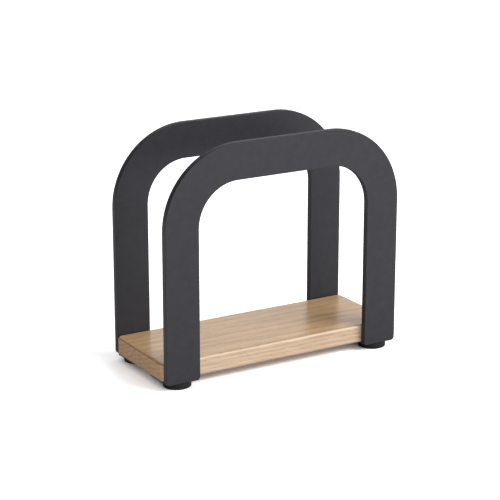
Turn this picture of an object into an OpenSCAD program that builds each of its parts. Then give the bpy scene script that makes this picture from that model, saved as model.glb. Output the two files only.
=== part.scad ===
/* [Arches] */
// Width of each arch over its legs
arch_width = 160; // [130:1:220]
// Height of each arch from the bottom of its legs to its top
arch_height = 139; // [110:0.5:190]
// Width of the band that makes the legs and the top bar
band_width = 22.2; // [18:0.1:30]
// Outside radius of the two top corners
corner_radius = 48; // [34:1:60]
// Thickness of the arch plate
plate_thickness = 4; // [2:0.1:6]
// Radius on the bottom corners of the legs
leg_corner_radius = 2.2; // [0.5:0.1:4]

/* [Board] */
// Depth of the board, which is the room for napkins between the arches
board_depth = 59; // [46:1:90]
// Thickness of the board
board_thickness = 11.3; // [9:0.1:20]
// How far each end of the board stands out past the legs' outer edges
board_overhang = 1; // [0:0.1:3]
// Radius of the board's four corners in plan
board_corner_radius = 3.5; // [2:0.1:8]
// Radius of the round along the board's top and bottom edges
board_edge_radius = 1.5; // [0.5:0.1:3]

/* [Tabs] */
// How far a tab reaches in under the board from its leg
tab_length = 20; // [15:0.5:24]
// How far each side of a tab lies inside the leg's edge
tab_side_inset = 0.3; // [0:0.1:4]
// Thickness of a tab
tab_thickness = 1; // [0.8:0.1:3]
// Radius on the two free corners of a tab
tab_corner_radius = 3; // [0.5:0.1:6]

/* [Feet] */
// Diameter of a foot
foot_diameter = 17; // [13:0.5:22]
// Height of a foot
foot_height = 3.9; // [2.8:0.1:6]
// Radius round the upper and lower rims of a foot
foot_rim_radius = 0.6; // [0.2:0.1:1.2]

/* [Screws] */
// Outside diameter of a screw's thread
screw_diameter = 3; // [2.5:0.1:4]
// Length of a screw under its head
screw_length = 10; // [6:0.5:12]
// Diameter of a screw's head
screw_head_diameter = 6; // [5:0.1:7]
// Height of a screw's head
screw_head_height = 1.8; // [1.2:0.1:2.2]

/* [Hidden] */

// Fineness of the round shapes
$fn = 96;
// How far every cut runs past the face that it opens
overrun = 1;
// Depth from the table to the screw head, so that the head never touches the table
head_depth = 0.4;
// Room round the screw head in the foot, on the radius
head_clearance = 0.5;
// Room round the screw in the foot and the tab, on the radius
shank_clearance = 0.2;
// Room round the screw in the board, on the radius
thread_clearance = 0.05;
// Room past the screw's point in the board
point_clearance = 0.4;
// Radius round the lower rim of the screw head
head_rim_radius = 0.7;
// Length of the screw's point
point_length = 2;
// Width of the cross recess in the screw head
recess_width = 0.9;
// Length of the cross recess in the screw head
recess_length = 3.4;
// Depth of the cross recess in the screw head
recess_depth = 1.1;
// Blunt end of the screw's point, as a share of the thread's diameter
point_share = 0.15;

// Directions along X and along Y
left = -1;
right = 1;
front = -1;
rear = 1;

// Window inside an arch, whose corners share their centres with the outside ones
window_width = arch_width - 2 * band_width;
window_height = arch_height - band_width;
window_radius = corner_radius - band_width;

// Heights above the table
leg_bottom = foot_height;
board_bottom = leg_bottom + tab_thickness;
head_seat = head_depth + screw_head_height;

// Faces and centres across the depth
inner_face = board_depth / 2;
outer_face = inner_face + plate_thickness;
foot_y = outer_face - foot_diameter / 2;

// Centre of each leg along the width
leg_x = (arch_width - band_width) / 2;

// Board in plan, and the part of it inside its rounded corners
board_length = arch_width + 2 * board_overhang;
core_length = board_length - 2 * board_corner_radius;
core_depth = board_depth - 2 * board_corner_radius;

tab_width = band_width - 2 * tab_side_inset;

arch_color = "#3d3d40";
board_color = "#c8a27a";
foot_color = "#1d1d1f";
screw_color = "#b9bbbd";

// Upright rectangle on the X axis with two round corners at its top
module round_topped(width, height, radius) {
    straight = width / 2 - radius;
    translate([-width / 2, 0])
        square([width, height - radius]);
    translate([-straight, 0])
        square([2 * straight, height]);
    for (side = [left, right])
        translate([side * straight, height - radius])
            circle(radius);
}

// Waste outside a rounded corner that points down and to the left
module corner_waste(radius) {
    difference() {
        translate([-overrun, -overrun])
            square(radius + overrun);
        translate([radius, radius])
            circle(radius);
    }
}

// Front view of an arch, standing on the X axis
module arch_outline() {
    difference() {
        round_topped(arch_width, arch_height, corner_radius);
        round_topped(window_width, window_height, window_radius);
        translate([-window_width / 2, -overrun])
            square([window_width, 2 * overrun]);
        for (leg = [left, right], edge = [left, right])
            translate([leg * leg_x + edge * band_width / 2, 0])
                mirror([edge == right ? 1 : 0, 0])
                    corner_waste(leg_corner_radius);
    }
}

// Arch plate, standing with its front face at y
module arch_plate(y) {
    color(arch_color)
        translate([0, y + plate_thickness, leg_bottom])
            rotate([90, 0, 0])
                linear_extrude(plate_thickness)
                    arch_outline();
}

module front_arch() arch_plate(-outer_face);
module rear_arch() arch_plate(inner_face);

// Section through a rounded edge of the board, from the core outwards
module board_edge_section() {
    flat = board_corner_radius - board_edge_radius;
    square([flat, board_thickness]);
    translate([0, board_edge_radius])
        square([board_corner_radius, board_thickness - 2 * board_edge_radius]);
    for (z = [board_edge_radius, board_thickness - board_edge_radius])
        translate([flat, z])
            circle(board_edge_radius);
}

// Straight edge of the board, pointing along +X and centred on the X axis
module board_edge(length) {
    translate([0, length / 2, 0])
        rotate([90, 0, 0])
            linear_extrude(length)
                board_edge_section();
}

// Whole board with its edge section carried round its plan, lying on z = 0
module board_blank() {
    translate([-core_length / 2, -core_depth / 2, 0])
        cube([core_length, core_depth, board_thickness]);
    for (turn = [0, 180]) {
        rotate(turn)
            translate([core_length / 2, 0, 0])
                board_edge(core_depth);
        rotate(turn + 90)
            translate([core_depth / 2, 0, 0])
                board_edge(core_length);
        for (side = [left, right])
            rotate(turn)
                translate([core_length / 2, side * core_depth / 2, 0])
                    rotate(side == right ? 0 : -90)
                        rotate_extrude(angle = 90)
                            board_edge_section();
    }
}

// Hole for one screw's thread, from under the board
module thread_hole() {
    depth = head_seat + screw_length + point_clearance;
    cylinder(h = depth, r = screw_diameter / 2 + thread_clearance);
}

module base_board() {
    color(board_color)
        difference() {
            translate([0, 0, board_bottom])
                board_blank();
            for (x = [left, right], y = [front, rear])
                translate([x * leg_x, y * foot_y, 0])
                    thread_hole();
        }
}

// Plan of a tab, with its welded edge on the X axis and its free end towards +Y
module tab_outline() {
    straight = tab_width / 2 - tab_corner_radius;
    translate([-tab_width / 2, 0])
        square([tab_width, tab_length - tab_corner_radius]);
    translate([-straight, 0])
        square([2 * straight, tab_length]);
    for (side = [left, right])
        translate([side * straight, tab_length - tab_corner_radius])
            circle(tab_corner_radius);
}

// Tab on the inside of one leg, under the board
module tab(x, y) {
    color(arch_color)
        translate([x * leg_x, y * inner_face, leg_bottom])
            rotate(y == front ? 0 : 180)
                difference() {
                    linear_extrude(tab_thickness)
                        tab_outline();
                    translate([0, inner_face - foot_y, -overrun])
                        cylinder(h = tab_thickness + 2 * overrun, r = screw_diameter / 2 + shank_clearance);
                }
}

module tab_front_left() tab(left, front);
module tab_front_right() tab(right, front);
module tab_rear_left() tab(left, rear);
module tab_rear_right() tab(right, rear);

// Half section of a foot, with its hole for the screw and its pocket for the head
module foot_section() {
    radius = foot_diameter / 2;
    difference() {
        union() {
            translate([0, foot_rim_radius])
                square([radius, foot_height - 2 * foot_rim_radius]);
            square([radius - foot_rim_radius, foot_height]);
            for (z = [foot_rim_radius, foot_height - foot_rim_radius])
                translate([radius - foot_rim_radius, z])
                    circle(foot_rim_radius);
        }
        translate([-overrun, -overrun])
            square([overrun + screw_diameter / 2 + shank_clearance, foot_height + 2 * overrun]);
        translate([-overrun, -overrun])
            square([overrun + screw_head_diameter / 2 + head_clearance, overrun + head_seat]);
    }
}

// Rubber foot under one leg and its tab
module foot(x, y) {
    color(foot_color)
        translate([x * leg_x, y * foot_y, 0])
            rotate_extrude()
                foot_section();
}

module foot_front_left() foot(left, front);
module foot_front_right() foot(right, front);
module foot_rear_left() foot(left, rear);
module foot_rear_right() foot(right, rear);

// Half section of a screw, with the underside of its head at z = 0 and its point up
module screw_section() {
    head_radius = screw_head_diameter / 2;
    shank_radius = screw_diameter / 2;
    translate([0, -screw_head_height])
        square([head_radius - head_rim_radius, screw_head_height]);
    translate([0, head_rim_radius - screw_head_height])
        square([head_radius, screw_head_height - head_rim_radius]);
    intersection() {
        translate([head_radius - head_rim_radius, head_rim_radius - screw_head_height])
            circle(head_rim_radius);
        translate([0, -screw_head_height])
            square([head_radius, screw_head_height]);
    }
    polygon([
        [0, -screw_head_height / 2],
        [shank_radius, -screw_head_height / 2],
        [shank_radius, screw_length - point_length],
        [point_share * shank_radius, screw_length],
        [0, screw_length],
    ]);
}

// Screw that holds one foot and one tab to the board
module screw(x, y) {
    color(screw_color)
        translate([x * leg_x, y * foot_y, head_seat])
            difference() {
                rotate_extrude()
                    screw_section();
                for (turn = [0, 90])
                    rotate(turn)
                        translate([-recess_length / 2, -recess_width / 2, -screw_head_height - overrun])
                            cube([recess_length, recess_width, overrun + recess_depth]);
            }
}

module screw_front_left() screw(left, front);
module screw_front_right() screw(right, front);
module screw_rear_left() screw(left, rear);
module screw_rear_right() screw(right, rear);

front_arch();
rear_arch();
base_board();
tab_front_left();
tab_front_right();
tab_rear_left();
tab_rear_right();
foot_front_left();
foot_front_right();
foot_rear_left();
foot_rear_right();
screw_front_left();
screw_front_right();
screw_rear_left();
screw_rear_right();
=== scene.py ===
"""Upright napkin holder with two coated steel arches on an oak board with rubber feet.

The frame gives every solid of the holder. This file gives the solids their rounded edges
and their finishes, and sets the floor, the lamps and the camera.
"""

import math
from collections import namedtuple

import bpy
from bpy.props import FloatProperty, FloatVectorProperty, PointerProperty
from bpy.types import Operator, Panel, PropertyGroup
from mathutils import Euler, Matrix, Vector


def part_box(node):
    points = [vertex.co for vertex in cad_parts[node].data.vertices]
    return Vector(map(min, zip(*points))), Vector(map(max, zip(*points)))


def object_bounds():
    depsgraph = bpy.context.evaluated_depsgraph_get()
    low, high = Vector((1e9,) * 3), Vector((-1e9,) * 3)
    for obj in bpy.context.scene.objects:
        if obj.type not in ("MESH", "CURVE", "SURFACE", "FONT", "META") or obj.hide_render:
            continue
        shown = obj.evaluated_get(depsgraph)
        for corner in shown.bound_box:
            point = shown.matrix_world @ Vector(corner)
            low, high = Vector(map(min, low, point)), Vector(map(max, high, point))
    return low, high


bl_info = {
    "name": "Napkin Holder",
    "version": (1, 0, 0),
    "blender": (4, 5, 0),
    "location": "View3D > Sidebar > Napkin Holder",
    "description": "Gives the napkin holder its finishes and sets its studio",
    "category": "Object",
}

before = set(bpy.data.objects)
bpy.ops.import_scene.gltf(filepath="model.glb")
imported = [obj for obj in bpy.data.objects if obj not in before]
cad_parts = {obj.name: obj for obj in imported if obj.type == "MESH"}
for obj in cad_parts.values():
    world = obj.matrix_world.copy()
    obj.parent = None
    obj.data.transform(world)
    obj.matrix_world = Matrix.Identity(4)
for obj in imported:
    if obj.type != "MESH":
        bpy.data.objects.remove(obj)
CAD_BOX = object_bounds()

BOARD = "base_board"
ARCHES = ("front_arch", "rear_arch")
CORNERS = ("front_left", "front_right", "rear_left", "rear_right")
TABS = tuple("tab_" + corner for corner in CORNERS)
FEET = tuple("foot_" + corner for corner in CORNERS)
SCREWS = tuple("screw_" + corner for corner in CORNERS)

MM = 0.001


# Settings


def color_property(name, description, default):
    """A colour in linear red, green and blue."""
    return FloatVectorProperty(
        name=name,
        description=description,
        default=default,
        subtype="COLOR",
        size=3,
        min=0.0,
        max=1.0,
    )


def length_property(name, description, default, most):
    """A length in metres."""
    return FloatProperty(
        name=name,
        description=description,
        default=default,
        unit="LENGTH",
        min=0.0,
        max=most,
        precision=5,
    )


def share_property(name, description, default):
    """A share from none to all."""
    return FloatProperty(
        name=name,
        description=description,
        default=default,
        subtype="FACTOR",
        min=0.0,
        max=1.0,
    )


def angle_property(name, description, degrees):
    """An angle, given in degrees."""
    return FloatProperty(
        name=name,
        description=description,
        default=math.radians(degrees),
        subtype="ANGLE",
    )


def power_property(name, description, default):
    """The power of a lamp in watts."""
    return FloatProperty(
        name=name,
        description=description,
        default=default,
        unit="POWER",
        min=0.0,
        max=200.0,
    )


class CoatSettings(PropertyGroup):
    """Powder coat on the arches and the tabs."""

    color: color_property("Colour", "Charcoal of the coat", (0.0271, 0.0269, 0.0335))
    mottle: share_property("Mottle", "How far the coat's tone drifts", 0.28)
    mottle_size: length_property("Mottle size", "Width of the clouds of tone", 4 * MM, 50 * MM)
    # Painted shade: the share of its tone that the coat keeps on an upright edge
    edge_shade_share: share_property("Edge tone", "Share of its tone that the coat keeps on an edge", 0.85)
    roughness: share_property("Roughness", "How matt the coat is", 0.44)
    shine: share_property("Shine", "How strongly the coat mirrors at a right angle", 0.28)
    arch_round: length_property("Arch edges", "Rounding on an arch's edges", 0.45 * MM, 1.4 * MM)
    tab_round: length_property("Tab edges", "Rounding on a tab's edges", 0.2 * MM, 0.45 * MM)
    peel_size: length_property("Peel size", "Width of the coat's soft waves", 1.3 * MM, 10 * MM)
    peel_depth: length_property("Peel depth", "Depth of the coat's soft waves", 0.008 * MM, MM)
    grit_size: length_property("Grit size", "Width of the coat's fine grains", 0.32 * MM, 5 * MM)
    grit_depth: length_property("Grit depth", "Depth of the coat's fine grains", 0.012 * MM, MM)


class OakSettings(PropertyGroup):
    """Lacquered oak of the board."""

    light_color: color_property("Late wood", "Colour of the dense late wood", (0.806, 0.622, 0.45))
    dark_color: color_property("Early wood", "Colour of the darkest wood", (0.551, 0.37, 0.232))
    pore_color: color_property("Pores", "Colour inside the open pores", (0.287, 0.176, 0.104))
    # Painted shade: top and bottom are darker and more saturated than the sides, as the light falls
    flat_shade_tint: color_property("Flat tint", "What top and bottom keep of the colour", (1.0, 0.86, 0.64))
    end_tint: color_property("End tint", "What the ends keep of the colour", (0.95, 0.78, 0.645))
    # Painted shade on the underside and along its lower rims
    under_shade_tint: color_property("Under tint", "What the bottom keeps of that colour", (0.68, 0.53, 0.42))
    # Painted shade: a dark line along the rim between an end and the top
    rim_shade_tint: color_property("Rim tint", "What an end's rim keeps of the colour", (0.7, 0.54, 0.37))
    ring_width: length_property("Ring width", "Width of one year's growth", 2.65 * MM, 20 * MM)
    ring_share: share_property("Ring contrast", "How far early wood turns to the dark colour", 0.3)
    ring_stray: share_property("Ring stray", "How far a ring strays, in years", 0.9)
    ring_tilt: angle_property("Ring tilt", "How far the rings lean in the board", 19.0)
    heart_distance: length_property("Heart", "From the board to the heart of the tree", 0.4, 2.0)
    band_length: length_property("Band length", "Length of a broad band of tone", 48 * MM, 500 * MM)
    band_width: length_property("Band width", "Width of a broad band of tone", 3 * MM, 50 * MM)
    band_share: share_property("Band contrast", "How far a band turns to the dark colour", 0.35)
    fibre_length: length_property("Fibre length", "Length of a streak of fibres", 20 * MM, 200 * MM)
    fibre_width: length_property("Fibre width", "Width of a streak of fibres", 1.05 * MM, 10 * MM)
    fibre_share: share_property("Fibre contrast", "How far a streak turns to the dark colour", 0.48)
    end_fibre: share_property("End contrast", "How far a cut fibre turns to the dark colour", 0.14)
    fibre_depth: length_property("Fibre depth", "Height of the streaks on the surface", 0.006 * MM, MM)
    run_out: angle_property("Run-out", "How far the fibres dip along the board", 4.0)
    pore_length: length_property("Pore length", "Length of a pore along the grain", 5 * MM, 50 * MM)
    pore_width: length_property("Pore width", "Width of a pore across the grain", 0.38 * MM, 5 * MM)
    pore_share: share_property("Pore contrast", "How far a pore turns to its own colour", 0.5)
    end_pore: share_property("End pores", "How far a cut pore turns to its own colour", 0.25)
    pore_depth: length_property("Pore depth", "How deep the lacquer sinks in a pore", 0.02 * MM, MM)
    roughness: share_property("Roughness", "How matt the wood is", 0.5)
    shine: share_property("Shine", "How strongly the wood mirrors at a right angle", 0.2)
    lacquer: share_property("Lacquer", "How much of the board the lacquer covers", 1.0)
    end_lacquer: share_property("End lacquer", "How much of the end grain the lacquer covers", 0.1)
    gloss: share_property("Lacquer roughness", "How matt the lacquer is", 0.28)


class RubberSettings(PropertyGroup):
    """Rubber of the feet."""

    color: color_property("Colour", "Near black of the rubber", (0.01, 0.01, 0.012))
    mottle: share_property("Mottle", "How far the rubber's tone drifts", 0.2)
    roughness: share_property("Roughness", "How matt the rubber is", 0.62)
    shine: share_property("Shine", "How strongly the rubber mirrors at a right angle", 0.25)
    grit_size: length_property("Grit size", "Width of the mould's fine grains", 0.4 * MM, 5 * MM)
    grit_depth: length_property("Grit depth", "Depth of the mould's fine grains", 0.02 * MM, MM)


class ZincSettings(PropertyGroup):
    """Zinc on the screws."""

    color: color_property("Colour", "Pale grey of the zinc", (0.55, 0.56, 0.58))
    mottle: share_property("Mottle", "How far the zinc's tone drifts", 0.15)
    roughness: share_property("Roughness", "How dull the zinc is", 0.34)
    shine: share_property("Shine", "How strongly the zinc mirrors at a right angle", 0.5)
    grit_size: length_property("Spangle size", "Width of the zinc's crystals", 0.6 * MM, 5 * MM)
    grit_depth: length_property("Spangle depth", "Depth of the zinc's crystals", 0.004 * MM, MM)


class StageSettings(PropertyGroup):
    """Floor, lamps and camera."""

    floor_color: color_property("Floor", "Colour of the floor", (0.96, 0.96, 0.96))
    floor_gain: FloatProperty(
        name="Floor exposure",
        description="How many times brighter the floor shows than it is lit",
        default=2.2,
        subtype="FACTOR",
        min=0.0,
        max=3.0,
    )
    floor_mirror: FloatProperty(
        name="Mirrored floor",
        description="How many times brighter the floor mirrors than it is lit",
        default=1.45,
        subtype="FACTOR",
        min=0.0,
        max=3.0,
    )
    # Painted shadow of the holder on the floor behind it, seen only in mirrors
    mirrored_shadow_share: share_property("Dim floor", "How bright the floor behind mirrors, next to the rest", 0.4)
    bounce: share_property("Bounce", "Share of the light that the floor sends back up", 0.42)
    ambient: share_property("Ambient", "Even light from all round", 0.51)
    room: share_property("Room", "How bright the dim room mirrors, next to white", 0.12)
    key_power: power_property("Key lamp", "Soft high lamp from the front right", 11.3)
    front_power: power_property("Front lamp", "Wide low lamp from the front", 5.1)
    side_power: power_property("Side lamp", "Wide low lamp from the front right", 1.8)
    camera_place: FloatVectorProperty(
        name="Camera place",
        description="Where the camera stands",
        default=(-0.5147, -0.8601, 0.3639),
        subtype="XYZ",
        unit="LENGTH",
        size=3,
    )
    camera_turn: angle_property("Camera turn", "How far the camera looks to the right", 30.68)
    camera_dip: angle_property("Camera dip", "How far the camera looks down", 16.57)
    camera_lens: FloatProperty(
        name="Focal length",
        description="Focal length on a sensor 36 mm wide",
        default=124.3,
        unit="CAMERA",
        min=10.0,
        max=500.0,
    )


SETTINGS = {
    "napkin_coat": CoatSettings,
    "napkin_oak": OakSettings,
    "napkin_rubber": RubberSettings,
    "napkin_zinc": ZincSettings,
    "napkin_stage": StageSettings,
}


# Nodes

# Steps between the nodes as they are set out
COLUMN = 220
ROW = 180
WHITE = (1.0, 1.0, 1.0)
# The value about which a noise drifts
NOISE_MIDDLE = 0.5
# Finer layers of the clouds of tone and of the grains, and how strong each is next to the one before
CLOUD_LAYERS = (4.0, 0.6)
GRAIN_LAYERS = (2.0, 0.55)


def is_output(value):
    """Whether a value is a node's output and not a plain number or colour."""
    return isinstance(value, bpy.types.NodeSocket)


def feed(tree, socket, value):
    """Joins an output to the socket, or types a plain value into it."""
    if is_output(value):
        tree.links.new(value, socket)
    else:
        socket.default_value = value


def add_node(tree, kind, inputs=None, **options):
    """Adds a node with its options set and its inputs fed, by name or by number."""
    node = tree.nodes.new(kind)
    for option, value in options.items():
        setattr(node, option, value)
    for name, value in (inputs or {}).items():
        feed(tree, node.inputs[name], value)
    return node


def maths(tree, operation, first, second=0.0, third=0.0):
    """One sum of up to three numbers."""
    node = add_node(
        tree, "ShaderNodeMath", {0: first, 1: second, 2: third}, operation=operation
    )
    return node.outputs[0]


def vector_maths(tree, operation, first, second):
    """One sum of two vectors, which gives a vector, or a number for a distance or a dot product."""
    node = add_node(tree, "ShaderNodeVectorMath", {0: first, 1: second}, operation=operation)
    return node.outputs["Value" if operation in ("DISTANCE", "DOT_PRODUCT") else "Vector"]


def times(tree, vector, number):
    """A vector or a plain colour times one number."""
    node = add_node(
        tree, "ShaderNodeVectorMath", {0: vector, "Scale": number}, operation="SCALE"
    )
    return node.outputs["Vector"]


def ramp(tree, value, start, end, low=0.0, high=1.0):
    """Turns a value between start and end smoothly into one between low and high."""
    node = add_node(
        tree,
        "ShaderNodeMapRange",
        {"Value": value, "From Min": start, "From Max": end, "To Min": low, "To Max": high},
        interpolation_type="SMOOTHSTEP",
    )
    return node.outputs["Result"]


def blend(tree, factor, first, second):
    """A mix of two colours, each an output or three numbers."""
    sides = [value if is_output(value) else (*value, 1.0) for value in (first, second)]
    node = add_node(
        tree, "ShaderNodeMix", {0: factor, 6: sides[0], 7: sides[1]}, data_type="RGBA"
    )
    return node.outputs[2]


def glaze(tree, color, tint, share):
    """A colour under a tint that covers a share of the surface."""
    veil = blend(tree, share, WHITE, tint)
    return vector_maths(tree, "MULTIPLY", color, veil)


def noise(tree, place, detail=2.0, roughness=0.5):
    """Soft noise from 0 to 1 whose clouds are about one unit of place wide."""
    node = add_node(
        tree,
        "ShaderNodeTexNoise",
        {"Vector": place, "Scale": 1.0, "Detail": detail, "Roughness": roughness},
    )
    return node.outputs


def measured(tree, place, sizes):
    """A place measured in the given sizes along X, Y and Z."""
    return vector_maths(tree, "DIVIDE", place, sizes)


def arrange(tree):
    """Sets the nodes out in columns, with each one left of all that it feeds."""
    column = {node: 0 for node in tree.nodes}
    for _ in tree.nodes:
        for link in tree.links:
            column[link.from_node] = max(column[link.from_node], column[link.to_node] + 1)
    rows = {}
    for node in tree.nodes:
        row = rows.get(column[node], 0)
        node.location = (-COLUMN * column[node], -ROW * row)
        rows[column[node]] = row + 1


def new_group(name, numbers, result):
    """A shader node group that reads a place and some numbers and gives one number."""
    tree = bpy.data.node_groups.new(name, "ShaderNodeTree")
    tree.interface.new_socket("Place", in_out="INPUT", socket_type="NodeSocketVector")
    for number in numbers:
        tree.interface.new_socket(number, in_out="INPUT", socket_type="NodeSocketFloat")
    tree.interface.new_socket(result, in_out="OUTPUT", socket_type="NodeSocketFloat")
    given = tree.nodes.new("NodeGroupInput").outputs
    wanted = tree.nodes.new("NodeGroupOutput").inputs
    return tree, given, wanted[result]


def cloudy_tone():
    """The group that lets a tone drift in soft clouds about one."""
    name = "Cloudy tone"
    if name in bpy.data.node_groups:
        return bpy.data.node_groups[name]
    tree, given, tone = new_group(name, ("Size", "Amount"), "Tone")
    place = times(tree, given["Place"], maths(tree, "DIVIDE", 1.0, given["Size"]))
    drift = maths(tree, "SUBTRACT", noise(tree, place, *CLOUD_LAYERS)["Fac"], NOISE_MIDDLE)
    swing = maths(tree, "MULTIPLY", given["Amount"], 2.0)
    feed(tree, tone, maths(tree, "MULTIPLY_ADD", drift, swing, 1.0))
    arrange(tree)
    return tree


def fine_grain():
    """The group that gives the height of small soft grains in metres."""
    name = "Fine grain"
    if name in bpy.data.node_groups:
        return bpy.data.node_groups[name]
    tree, given, height = new_group(name, ("Size", "Depth"), "Height")
    place = times(tree, given["Place"], maths(tree, "DIVIDE", 1.0, given["Size"]))
    swell = noise(tree, place, *GRAIN_LAYERS)["Fac"]
    feed(tree, height, maths(tree, "MULTIPLY", swell, given["Depth"]))
    arrange(tree)
    return tree


def placed(tree, group, **inputs):
    """Places a node group in a material, feeds it, and gives its output."""
    node = add_node(tree, "ShaderNodeGroup", node_tree=group)
    for name, value in inputs.items():
        feed(tree, node.inputs[name], value)
    return node.outputs[0]


def bump(tree, height):
    """A normal bent by a height in metres."""
    node = add_node(
        tree, "ShaderNodeBump", {"Height": height, "Strength": 1.0, "Distance": 1.0}
    )
    return node.outputs["Normal"]


def new_material(name):
    """A material with its shader, and the outputs that say where each point lies."""
    material = bpy.data.materials.get(name) or bpy.data.materials.new(name)
    material.use_nodes = True
    tree = material.node_tree
    tree.nodes.clear()
    shader = tree.nodes.new("ShaderNodeBsdfPrincipled")
    output = tree.nodes.new("ShaderNodeOutputMaterial")
    tree.links.new(shader.outputs["BSDF"], output.inputs["Surface"])
    points = tree.nodes.new("ShaderNodeTexCoord").outputs
    return material, tree, shader.inputs, points


def facing(tree, points):
    """How squarely the surface faces along X, Y and Z, without regard to side."""
    plain = add_node(tree, "ShaderNodeVectorMath", {0: points["Normal"]}, operation="ABSOLUTE")
    return add_node(tree, "ShaderNodeSeparateXYZ", {0: plain.outputs["Vector"]}).outputs


# Finishes

# Between these values most of a noise lies.
NOISE_SPAN = (0.3, 0.7)
# Clouds in which the coat's gloss drifts, and how far it drifts
SHEEN_SIZE = 25 * MM
SHEEN_DRIFT = 0.05
# How squarely a plate's edge faces along Y where its band of painted shade fades in, and where it fades
# out
EDGE_STARTS = (0.05, 0.45)
EDGE_STOPS = (0.65, 0.98)
# How squarely it faces up or down where the band ends
EDGE_UPRIGHT = (0.5, 0.7)
# Clouds of tone on the small pieces
SPECKLE_SIZE = 2 * MM
# How squarely a flat or an end of the board has to face for its tint to begin and to be full; on the
# flats that tint is painted shade, on the ends it is the end grain's own colour
FLAT_SPAN = (0.92, 0.997)
END_SPAN = (0.35, 0.95)
# The same for the painted shade on the rim of an end, along X and along Z
RIM_SIDE = (0.25, 0.7)
RIM_FLAT = (0.15, 0.6)
# How far up the underside faces, which is below zero, where its painted shade is full and where it ends
UNDER_SPAN = (-0.9, -0.45)
# Clouds in which the grain wanders, their finer layers, and how far it wanders
SWAY_SIZES = (90 * MM, 30 * MM, 30 * MM)
SWAY_DETAIL = 1.0
SWAY_REACH = (0.0, 3 * MM, 3 * MM)
# Clouds in which a ring strays from its circle
STRAY_SIZES = (120 * MM, 7 * MM, 7 * MM)
# Parts of a year over which the early wood begins and ends
EARLY_BEGINS = (0.0, 0.12)
EARLY_ENDS = (0.2, 0.75)
# Finer layers of the streaks of fibres and of the bands
FIBRE_DETAIL = 3.0
BAND_DETAIL = 2.0
# How much of its cell a pore fills, what early wood adds to that, and a pore's soft edge
PORE_REACH = 0.12
PORE_GROWTH = 0.22
PORE_EDGE = (-0.06, 0.12)
# What an open pore adds to the roughness of the wood
PORE_MATT = 0.2


def coat_material(settings):
    """Charcoal powder coat, matt, with soft waves, fine grains and painted shade along its upright
    edges.
    """
    material, tree, shader, points = new_material("Powder coat")
    place = points["Object"]
    tone = placed(
        tree, cloudy_tone(), Place=place, Size=settings.mottle_size, Amount=settings.mottle
    )

    # Painted shade darkens a plate's upright edges, where its face turns into its side.
    face = facing(tree, points)
    stopping = ramp(tree, face["Y"], *EDGE_STOPS, 1.0, 0.0)
    turning = maths(tree, "MULTIPLY", ramp(tree, face["Y"], *EDGE_STARTS), stopping)
    upright = ramp(tree, face["Z"], *EDGE_UPRIGHT, 1.0, 0.0)
    edge = maths(tree, "MULTIPLY", turning, upright)
    painted_edge_shade = maths(tree, "MULTIPLY_ADD", edge, settings.edge_shade_share - 1.0, 1.0)
    tone = maths(tree, "MULTIPLY", tone, painted_edge_shade)
    feed(tree, shader["Base Color"], times(tree, settings.color, tone))

    sheen = placed(tree, cloudy_tone(), Place=place, Size=SHEEN_SIZE, Amount=SHEEN_DRIFT)
    feed(tree, shader["Roughness"], maths(tree, "MULTIPLY", sheen, settings.roughness))
    shader["Specular IOR Level"].default_value = settings.shine
    peel = placed(
        tree, fine_grain(), Place=place, Size=settings.peel_size, Depth=settings.peel_depth
    )
    grit = placed(
        tree, fine_grain(), Place=place, Size=settings.grit_size, Depth=settings.grit_depth
    )
    feed(tree, shader["Normal"], bump(tree, maths(tree, "ADD", peel, grit)))
    arrange(tree)
    return material


def moulded_material(name, settings, metallic):
    """A plain finish with a drifting tone and a fine grain, for the small pieces."""
    material, tree, shader, points = new_material(name)
    place = points["Object"]
    tone = placed(tree, cloudy_tone(), Place=place, Size=SPECKLE_SIZE, Amount=settings.mottle)
    feed(tree, shader["Base Color"], times(tree, settings.color, tone))
    feed(tree, shader["Roughness"], maths(tree, "MULTIPLY", tone, settings.roughness))
    shader["Metallic"].default_value = metallic
    shader["Specular IOR Level"].default_value = settings.shine
    grit = placed(
        tree, fine_grain(), Place=place, Size=settings.grit_size, Depth=settings.grit_depth
    )
    feed(tree, shader["Normal"], bump(tree, grit))
    arrange(tree)
    return material


def swaying(tree, points):
    """A point's place in the tree, whose grain wanders a little from the board's own lines."""
    place = points["Object"]
    sway = noise(tree, measured(tree, place, SWAY_SIZES), SWAY_DETAIL)["Color"]
    sway = vector_maths(tree, "SUBTRACT", sway, (NOISE_MIDDLE,) * 3)
    return vector_maths(tree, "ADD", place, vector_maths(tree, "MULTIPLY", sway, SWAY_REACH))


def dipping(tree, place, settings):
    """A place measured along fibres that dip towards the right end of the board."""
    parts = add_node(tree, "ShaderNodeSeparateXYZ", {0: place}).outputs
    dip = (math.tan(settings.run_out), 0.0, 1.0)
    height = vector_maths(tree, "DOT_PRODUCT", place, dip)
    inputs = {"X": parts["X"], "Y": parts["Y"], "Z": height}
    return add_node(tree, "ShaderNodeCombineXYZ", inputs).outputs["Vector"]


def early_wood(tree, place, settings):
    """One in the open wood at the start of each year's ring, and none in the dense wood."""
    low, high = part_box(BOARD)
    lean = Vector((0.0, math.sin(settings.ring_tilt), math.cos(settings.ring_tilt)))
    heart = (low + high) / 2 - settings.heart_distance * lean
    across = vector_maths(tree, "MULTIPLY", place, (0.0, 1.0, 1.0))
    radius = vector_maths(tree, "DISTANCE", across, (0.0, heart.y, heart.z))
    uneven = noise(tree, measured(tree, place, STRAY_SIZES))["Fac"]
    years = maths(tree, "DIVIDE", radius, settings.ring_width)
    years = maths(tree, "MULTIPLY_ADD", uneven, settings.ring_stray, years)
    season = maths(tree, "FRACT", years)
    begun = ramp(tree, season, *EARLY_BEGINS)
    return maths(tree, "MULTIPLY", begun, ramp(tree, season, *EARLY_ENDS, 1.0, 0.0))


def streaks(tree, place, length, width, detail):
    """Streaks from 0 to 1 that lie along X."""
    fac = noise(tree, measured(tree, place, (length, width, width)), detail)["Fac"]
    return ramp(tree, fac, *NOISE_SPAN)


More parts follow.
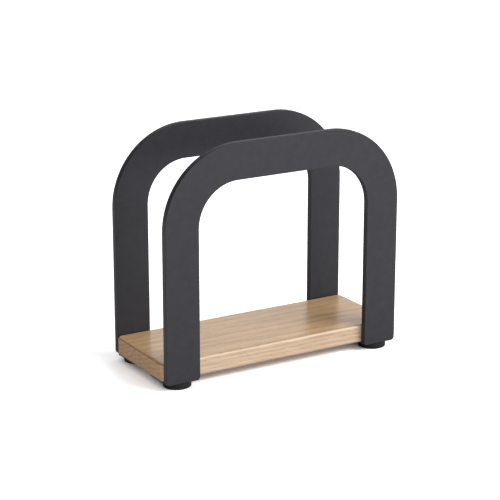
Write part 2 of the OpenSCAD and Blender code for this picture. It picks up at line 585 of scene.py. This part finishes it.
def open_pores(tree, place, early, settings):
    """One inside the pores, which lie along the grain, most of them in the early wood."""
    sizes = (settings.pore_length, settings.pore_width, settings.pore_width)
    cells = add_node(
        tree, "ShaderNodeTexVoronoi", {"Vector": measured(tree, place, sizes), "Scale": 1.0}
    )
    reach = maths(tree, "MULTIPLY_ADD", early, PORE_GROWTH, PORE_REACH)
    inside = maths(tree, "SUBTRACT", reach, cells.outputs["Distance"])
    return ramp(tree, inside, *PORE_EDGE)


def oak_material(settings):
    """Lacquered oak, cut from rings round a far heart, with pores along the grain."""
    material, tree, shader, points = new_material("Lacquered oak")
    place = swaying(tree, points)
    fibres = dipping(tree, place, settings)
    early = early_wood(tree, place, settings)
    pore = open_pores(tree, fibres, early, settings)
    fibre = streaks(tree, fibres, settings.fibre_length, settings.fibre_width, FIBRE_DETAIL)
    band = streaks(tree, place, settings.band_length, settings.band_width, BAND_DETAIL)
    face = facing(tree, points)
    fibre_share = ramp(tree, face["X"], *END_SPAN, settings.fibre_share, settings.end_fibre)
    pore_share = ramp(tree, face["X"], *END_SPAN, settings.pore_share, settings.end_pore)
    darkness = maths(tree, "MULTIPLY", early, settings.ring_share)
    darkness = maths(tree, "MULTIPLY_ADD", fibre, fibre_share, darkness)
    darkness = maths(tree, "MULTIPLY_ADD", band, settings.band_share, darkness)
    color = blend(tree, darkness, settings.light_color, settings.dark_color)
    open_share = maths(tree, "MULTIPLY", pore, pore_share)
    color = blend(tree, open_share, color, settings.pore_color)

    # The ends add the darker colour of end grain. The flats, the underside and the rims of the ends get
    # painted shade: darker flats, a darker underside and a dark line along each end's rim.
    color = glaze(tree, color, settings.flat_shade_tint, ramp(tree, face["Z"], *FLAT_SPAN))
    color = glaze(tree, color, settings.end_tint, ramp(tree, face["X"], *END_SPAN))
    upward = add_node(tree, "ShaderNodeSeparateXYZ", {0: points["Normal"]}).outputs["Z"]
    color = glaze(tree, color, settings.under_shade_tint, ramp(tree, upward, *UNDER_SPAN, 1.0, 0.0))
    rim_side = ramp(tree, face["X"], *RIM_SIDE)
    rim = maths(tree, "MULTIPLY", rim_side, ramp(tree, face["Z"], *RIM_FLAT))
    feed(tree, shader["Base Color"], glaze(tree, color, settings.rim_shade_tint, rim))

    matt = maths(tree, "MULTIPLY_ADD", pore, PORE_MATT, settings.roughness)
    feed(tree, shader["Roughness"], matt)
    shader["Specular IOR Level"].default_value = settings.shine
    cover = ramp(tree, face["X"], *END_SPAN, settings.lacquer, settings.end_lacquer)
    feed(tree, shader["Coat Weight"], cover)
    shader["Coat Roughness"].default_value = settings.gloss
    ridge = maths(tree, "MULTIPLY", fibre, settings.fibre_depth)
    height = maths(tree, "MULTIPLY_ADD", pore, -settings.pore_depth, ridge)
    feed(tree, shader["Normal"], bump(tree, height))
    arrange(tree)
    return material


# Solids

# Gap across which a plate's seams join, and the bend up to which its faces merge into one flat
SEAM_GAP = 0.001 * MM
FLAT_BEND = math.radians(0.2)
# Bend from which an edge is sharp, and the steps in which it is rounded
SHARP_BEND = math.radians(35.0)
ROUND_STEPS = 4
# How much the larger faces count in the normals of a rounded plate
FACE_WEIGHT = 100


def smooth_shading():
    """The modifier's node group that shades every face smoothly."""
    name = "Smooth shading"
    if name in bpy.data.node_groups:
        return bpy.data.node_groups[name]
    tree = bpy.data.node_groups.new(name, "GeometryNodeTree")
    for in_out in ("INPUT", "OUTPUT"):
        tree.interface.new_socket("Geometry", in_out=in_out, socket_type="NodeSocketGeometry")
    given = tree.nodes.new("NodeGroupInput").outputs["Geometry"]
    smooth = add_node(tree, "GeometryNodeSetShadeSmooth", {"Geometry": given})
    feed(tree, tree.nodes.new("NodeGroupOutput").inputs["Geometry"], smooth.outputs["Geometry"])
    arrange(tree)
    return tree


def finish(node, material):
    """Gives one of the frame's solids its material."""
    if not node.material_slots:
        raise RuntimeError(f"{node.name} has no material slot")
    for slot in node.material_slots:
        slot.material = material


def round_edges(node, radius):
    """Rounds the sharp edges of one of the frame's plates."""
    node.modifiers.clear()
    join = node.modifiers.new("Join seams", "WELD")
    join.merge_threshold = SEAM_GAP
    flats = node.modifiers.new("Merge flats", "DECIMATE")
    flats.decimate_type = "DISSOLVE"
    flats.angle_limit = FLAT_BEND
    edges = node.modifiers.new("Round edges", "BEVEL")
    edges.width = radius
    edges.segments = ROUND_STEPS
    edges.loop_slide = False
    edges.limit_method = "ANGLE"
    edges.angle_limit = SHARP_BEND
    shade = node.modifiers.new("Shade smooth", "NODES")
    shade.node_group = smooth_shading()
    normals = node.modifiers.new("Even normals", "WEIGHTED_NORMAL")
    normals.weight = FACE_WEIGHT


def finish_all(names, material):
    """Gives several of the frame's solids one material."""
    for name in names:
        finish(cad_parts[name], material)


def coat_plates(names, radius, settings):
    """Rounds the edges of several of the frame's plates and coats them."""
    for name in names:
        round_edges(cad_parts[name], radius)
    finish_all(names, coat_material(settings))


class NAPKIN_OT_arches(Operator):
    """Round the arches' edges and coat them"""

    bl_idname = "napkin_holder.arches"
    bl_label = "Arches"
    bl_options = {"REGISTER", "UNDO"}

    def execute(self, context):
        settings = context.scene.napkin_coat
        coat_plates(ARCHES, settings.arch_round, settings)
        return {"FINISHED"}


class NAPKIN_OT_tabs(Operator):
    """Round the tabs' edges and coat them like the arches"""

    bl_idname = "napkin_holder.tabs"
    bl_label = "Tabs"
    bl_options = {"REGISTER", "UNDO"}

    def execute(self, context):
        settings = context.scene.napkin_coat
        coat_plates(TABS, settings.tab_round, settings)
        return {"FINISHED"}


class NAPKIN_OT_board(Operator):
    """Give the board its oak"""

    bl_idname = "napkin_holder.board"
    bl_label = "Board"
    bl_options = {"REGISTER", "UNDO"}

    def execute(self, context):
        finish(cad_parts[BOARD], oak_material(context.scene.napkin_oak))
        return {"FINISHED"}


class NAPKIN_OT_feet(Operator):
    """Give the feet their rubber"""

    bl_idname = "napkin_holder.feet"
    bl_label = "Feet"
    bl_options = {"REGISTER", "UNDO"}

    def execute(self, context):
        material = moulded_material("Rubber", context.scene.napkin_rubber, metallic=0.0)
        finish_all(FEET, material)
        return {"FINISHED"}


class NAPKIN_OT_screws(Operator):
    """Give the screws their zinc"""

    bl_idname = "napkin_holder.screws"
    bl_label = "Screws"
    bl_options = {"REGISTER", "UNDO"}

    def execute(self, context):
        material = moulded_material("Zinc", context.scene.napkin_zinc, metallic=1.0)
        finish_all(SCREWS, material)
        return {"FINISHED"}


# Stage

# How far the floor reaches to each side, and how far it lies under the feet
FLOOR_REACH = 4.0
FLOOR_DROP = 0.02 * MM
# Where behind the holder the mirrored floor carries a painted shadow, and the distances over which that
# shadow fades
PAINTED_SHADOW_PLACE = (0.05, 0.18, 0.0)
PAINTED_SHADOW_REACH = (0.12, 0.28)
# Heights in degrees over which the white surroundings fade to the dim room
WHITE_TOP = (22.0, 42.0)
# Ways along X over which they fade to the dim room on the left
WHITE_LEFT = (-0.3, 0.2)
# Width of the camera's sensor in millimetres, and the distance from which it sees
SENSOR_WIDTH = 36.0
NEAREST_VIEW = 0.01

Lamp = namedtuple("Lamp", "name setting place width height")
LAMPS = (
    Lamp("Key lamp", "key_power", (0.75, -0.85, 0.95), 0.8, 0.8),
    Lamp("Front lamp", "front_power", (0.05, -1.5, 0.22), 1.2, 0.42),
    Lamp("Side lamp", "side_power", (0.8, -1.15, 0.22), 0.9, 0.42),
)


def rays(tree):
    """One for the camera's own rays, and one for mirrored rays and those through clear things."""
    path = tree.nodes.new("ShaderNodeLightPath").outputs
    mirrored = maths(tree, "MAXIMUM", path["Is Glossy Ray"], path["Is Transmission Ray"])
    return path["Is Camera Ray"], mirrored


def stand(name, data):
    """Puts a fresh object of the stage into the scene, in place of an earlier one."""
    earlier = bpy.data.objects.get(name)
    if earlier:
        bpy.data.objects.remove(earlier)
    thing = bpy.data.objects.new(name, data)
    bpy.context.scene.collection.objects.link(thing)
    return thing


def add_floor(settings):
    """A wide flat floor just under the feet."""
    ways = ((-1, -1), (1, -1), (1, 1), (-1, 1))
    corners = [(x * FLOOR_REACH, y * FLOOR_REACH, -FLOOR_DROP) for x, y in ways]
    mesh = bpy.data.meshes.new("Floor")
    mesh.from_pydata(corners, [], [(0, 1, 2, 3)])
    floor = stand("Floor", mesh)

    material = bpy.data.materials.get("Floor") or bpy.data.materials.new("Floor")
    material.use_nodes = True
    tree = material.node_tree
    tree.nodes.clear()
    points = tree.nodes.new("ShaderNodeTexCoord").outputs
    # A painted shadow dims the mirrored floor behind the holder
    away = vector_maths(tree, "DISTANCE", points["Object"], PAINTED_SHADOW_PLACE)
    shadow_fade = ramp(tree, away, *PAINTED_SHADOW_REACH, settings.mirrored_shadow_share, 1.0)
    direct, mirrored = rays(tree)
    tone = Vector(settings.floor_color)
    seen = times(tree, tone * settings.floor_mirror, shadow_fade)
    color = blend(tree, mirrored, (settings.bounce,) * 3, seen)
    color = blend(tree, direct, color, tone * settings.floor_gain)
    paint = add_node(tree, "ShaderNodeBsdfDiffuse", {"Color": color})
    output = tree.nodes.new("ShaderNodeOutputMaterial")
    feed(tree, output.inputs["Surface"], paint.outputs["BSDF"])
    arrange(tree)
    mesh.materials.append(material)


def add_world(settings):
    """White surroundings that give only a share of that white as light.

    Mirrors show them white low down on the right, and as a dim room elsewhere.
    """
    world = bpy.data.worlds.get("Studio") or bpy.data.worlds.new("Studio")
    world.use_nodes = True
    tree = world.node_tree
    tree.nodes.clear()
    points = tree.nodes.new("ShaderNodeTexCoord").outputs
    ways = add_node(tree, "ShaderNodeSeparateXYZ", {0: points["Generated"]}).outputs
    top = (math.sin(math.radians(angle)) for angle in WHITE_TOP)
    white = maths(
        tree,
        "MULTIPLY",
        ramp(tree, ways["Z"], *top, 1.0, 0.0),
        ramp(tree, ways["X"], *WHITE_LEFT),
    )
    shown = maths(tree, "MULTIPLY_ADD", white, 1.0 - settings.room, settings.room)
    extra = maths(tree, "SUBTRACT", shown, settings.ambient)
    direct, mirrored = rays(tree)
    strength = maths(tree, "MULTIPLY_ADD", mirrored, extra, settings.ambient)
    strength = maths(tree, "MAXIMUM", strength, direct)
    inputs = {"Color": (*WHITE, 1.0), "Strength": strength}
    light = add_node(tree, "ShaderNodeBackground", inputs)
    output = tree.nodes.new("ShaderNodeOutputWorld")
    feed(tree, output.inputs["Surface"], light.outputs["Background"])
    arrange(tree)
    bpy.context.scene.world = world


def add_lamp(lamp, aim, power):
    """A soft rectangular lamp that points at the aim."""
    light = bpy.data.lights.new(lamp.name, "AREA")
    light.shape = "RECTANGLE"
    light.size = lamp.width
    light.size_y = lamp.height
    light.energy = power
    holder = stand(lamp.name, light)
    holder.location = lamp.place
    holder.rotation_euler = (aim - Vector(lamp.place)).to_track_quat("-Z", "Y").to_euler()


def add_camera(settings):
    """The camera, level from side to side, where its settings put it."""
    lens = bpy.data.cameras.new("Camera")
    lens.lens = settings.camera_lens
    lens.sensor_width = SENSOR_WIDTH
    lens.sensor_fit = "HORIZONTAL"
    lens.clip_start = NEAREST_VIEW
    camera = stand("Camera", lens)
    camera.location = settings.camera_place
    camera.rotation_euler = Euler(
        (math.radians(90.0) - settings.camera_dip, 0.0, -settings.camera_turn)
    )
    bpy.context.scene.camera = camera


class NAPKIN_OT_stage(Operator):
    """Set the floor, the lamps and the camera"""

    bl_idname = "napkin_holder.stage"
    bl_label = "Stage"
    bl_options = {"REGISTER", "UNDO"}

    def execute(self, context):
        settings = context.scene.napkin_stage
        add_floor(settings)
        add_world(settings)
        aim = (CAD_BOX[0] + CAD_BOX[1]) / 2
        for lamp in LAMPS:
            add_lamp(lamp, aim, getattr(settings, lamp.setting))
        add_camera(settings)
        context.scene.view_settings.view_transform = "Standard"
        return {"FINISHED"}


# Sidebar

OPERATORS = (
    NAPKIN_OT_arches,
    NAPKIN_OT_tabs,
    NAPKIN_OT_board,
    NAPKIN_OT_feet,
    NAPKIN_OT_screws,
    NAPKIN_OT_stage,
)


class NAPKIN_PT_sidebar(Panel):
    """Lists the holder's pieces and their settings"""

    bl_idname = "NAPKIN_PT_sidebar"
    bl_label = "Napkin Holder"
    bl_space_type = "VIEW_3D"
    bl_region_type = "UI"
    bl_category = "Napkin Holder"

    def draw(self, context):
        for operator in OPERATORS:
            self.layout.operator(operator.bl_idname)
        for name in SETTINGS:
            box = self.layout.box()
            settings = getattr(context.scene, name)
            for setting in settings.bl_rna.properties:
                if not setting.is_readonly and setting.identifier != "name":
                    box.prop(settings, setting.identifier)


def register():
    for group in SETTINGS.values():
        bpy.utils.register_class(group)
    for name, group in SETTINGS.items():
        setattr(bpy.types.Scene, name, PointerProperty(type=group))
    for operator in OPERATORS:
        bpy.utils.register_class(operator)
    bpy.utils.register_class(NAPKIN_PT_sidebar)


def unregister():
    bpy.utils.unregister_class(NAPKIN_PT_sidebar)
    for operator in reversed(OPERATORS):
        bpy.utils.unregister_class(operator)
    for name in SETTINGS:
        delattr(bpy.types.Scene, name)
    for group in reversed(SETTINGS.values()):
        bpy.utils.unregister_class(group)


def main():
    register()
    bpy.ops.napkin_holder.arches()
    bpy.ops.napkin_holder.tabs()
    bpy.ops.napkin_holder.board()
    bpy.ops.napkin_holder.feet()
    bpy.ops.napkin_holder.screws()
    bpy.ops.napkin_holder.stage()


if __name__ == "__main__":
    main()
